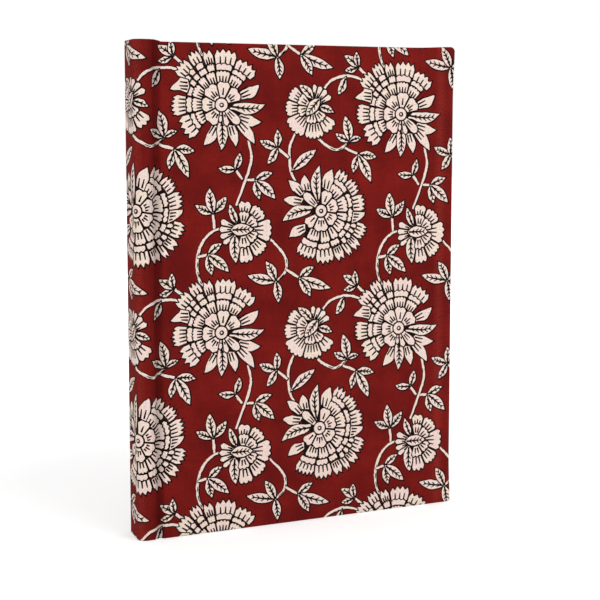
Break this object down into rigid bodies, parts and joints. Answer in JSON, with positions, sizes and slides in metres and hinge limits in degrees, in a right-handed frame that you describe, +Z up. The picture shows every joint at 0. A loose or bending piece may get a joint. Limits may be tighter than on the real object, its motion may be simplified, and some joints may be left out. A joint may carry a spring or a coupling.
{
  "type": "cloth-bound notebook",
  "caption": "Hardback notebook wrapped in printed red cotton, flat spine with pressed grooves, sewn sections; covers and leaves open.",
  "frame": {"origin": "middle of the tail edge, on the surface that the closed book stands on", "axes": "+Z up along the book's height, from tail to head; +X from the spine to the fore-edge; +Y from the front cover to the back cover"},
  "size_m": [0.152, 0.0164, 0.2149],
  "materials": {
    "printed_cloth": "plain-woven cotton, block printed in cream and black on madder red",
    "board": "grey binder's board",
    "leaf_paper": "uncoated cream paper",
    "endpaper": "plain heavy endpaper",
    "kraft_paper": "brown kraft lining paper",
    "gauze": "open-woven cotton mull",
    "cotton_tape": "woven cotton tape",
    "linen_thread": "waxed linen thread",
    "band_cotton": "cotton-wrapped bead"
  },
  "bodies": {
    "binding": {"spine_board": "board", "spine_cloth": "printed_cloth", "spine_lining": "kraft_paper", "mull": "gauze", "sewing_tape_1": "cotton_tape", "sewing_tape_2": "cotton_tape", "sewing_tape_3": "cotton_tape", "tape_stitches_1": "linen_thread", "tape_stitches_2": "linen_thread", "tape_stitches_3": "linen_thread", "kettle_stitches_tail": "linen_thread", "kettle_stitches_head": "linen_thread", "head_band": "band_cotton", "tail_band": "band_cotton", "front_joint_cloth": "printed_cloth", "back_joint_cloth": "printed_cloth", "front_hinge_lining": "endpaper", "back_hinge_lining": "endpaper"},
    "front_cover": {"front_board": "board", "front_cover_cloth": "printed_cloth", "front_pastedown": "endpaper"},
    "back_cover": {"back_board": "board", "back_cover_cloth": "printed_cloth", "back_pastedown": "endpaper"},
    "section_1": {"section_1": "leaf_paper"},
    "section_2": {"section_2": "leaf_paper"},
    "section_3": {"section_3": "leaf_paper"},
    "section_4": {"section_4": "leaf_paper"},
    "section_5": {"section_5": "leaf_paper"},
    "section_6": {"section_6": "leaf_paper"},
    "section_7": {"section_7": "leaf_paper"},
    "section_8": {"section_8": "leaf_paper"},
    "front_flyleaf": {"front_flyleaf": "endpaper"},
    "back_flyleaf": {"back_flyleaf": "endpaper"}
  },
  "joints": [
    {"name": "front_cover_hinge", "type": "hinge", "parent": "binding", "child": "front_cover", "pos_m": [-0.072, -0.00839, 0.107], "axis": [0, 0, -1], "range_deg": [0, 180], "deforming": ["front_joint_cloth", "front_hinge_lining"]},
    {"name": "back_cover_hinge", "type": "hinge", "parent": "binding", "child": "back_cover", "pos_m": [-0.072, 0.00839, 0.107], "axis": [0, 0, 1], "range_deg": [0, 180], "deforming": ["back_joint_cloth", "back_hinge_lining"]},
    {"name": "section_1_fold", "type": "hinge", "parent": "binding", "child": "section_1", "pos_m": [-0.0714, -0.00406, 0.107], "axis": [0, 0, -1], "range_deg": [0, 60]},
    {"name": "section_2_fold", "type": "hinge", "parent": "binding", "child": "section_2", "pos_m": [-0.0714, -0.0029, 0.107], "axis": [0, 0, -1], "range_deg": [0, 45]},
    {"name": "section_3_fold", "type": "hinge", "parent": "binding", "child": "section_3", "pos_m": [-0.0714, -0.00174, 0.107], "axis": [0, 0, -1], "range_deg": [0, 30]},
    {"name": "section_4_fold", "type": "hinge", "parent": "binding", "child": "section_4", "pos_m": [-0.0714, -0.00058, 0.107], "axis": [0, 0, -1], "range_deg": [0, 15]},
    {"name": "section_5_fold", "type": "hinge", "parent": "binding", "child": "section_5", "pos_m": [-0.0714, 0.00058, 0.107], "axis": [0, 0, 1], "range_deg": [0, 15]},
    {"name": "section_6_fold", "type": "hinge", "parent": "binding", "child": "section_6", "pos_m": [-0.0714, 0.00174, 0.107], "axis": [0, 0, 1], "range_deg": [0, 30]},
    {"name": "section_7_fold", "type": "hinge", "parent": "binding", "child": "section_7", "pos_m": [-0.0714, 0.0029, 0.107], "axis": [0, 0, 1], "range_deg": [0, 45]},
    {"name": "section_8_fold", "type": "hinge", "parent": "binding", "child": "section_8", "pos_m": [-0.0714, 0.00406, 0.107], "axis": [0, 0, 1], "range_deg": [0, 60]},
    {"name": "front_flyleaf_fold", "type": "hinge", "parent": "section_1", "child": "front_flyleaf", "pos_m": [-0.0707, -0.00475, 0.107], "axis": [0, 0, -1], "range_deg": [0, 12]},
    {"name": "back_flyleaf_fold", "type": "hinge", "parent": "section_8", "child": "back_flyleaf", "pos_m": [-0.0707, 0.00475, 0.107], "axis": [0, 0, 1], "range_deg": [0, 12]}
  ],
  "couplings": [
    {"joint": "section_1_fold", "follows": "front_cover_hinge", "ratio": 0.33333},
    {"joint": "section_2_fold", "follows": "front_cover_hinge", "ratio": 0.25},
    {"joint": "section_3_fold", "follows": "front_cover_hinge", "ratio": 0.16667},
    {"joint": "section_4_fold", "follows": "front_cover_hinge", "ratio": 0.083333},
    {"joint": "front_flyleaf_fold", "follows": "front_cover_hinge", "ratio": 0.066666},
    {"joint": "section_5_fold", "follows": "back_cover_hinge", "ratio": 0.083333},
    {"joint": "section_6_fold", "follows": "back_cover_hinge", "ratio": 0.16667},
    {"joint": "section_7_fold", "follows": "back_cover_hinge", "ratio": 0.25},
    {"joint": "section_8_fold", "follows": "back_cover_hinge", "ratio": 0.33333},
    {"joint": "back_flyleaf_fold", "follows": "back_cover_hinge", "ratio": 0.066666}
  ]
}
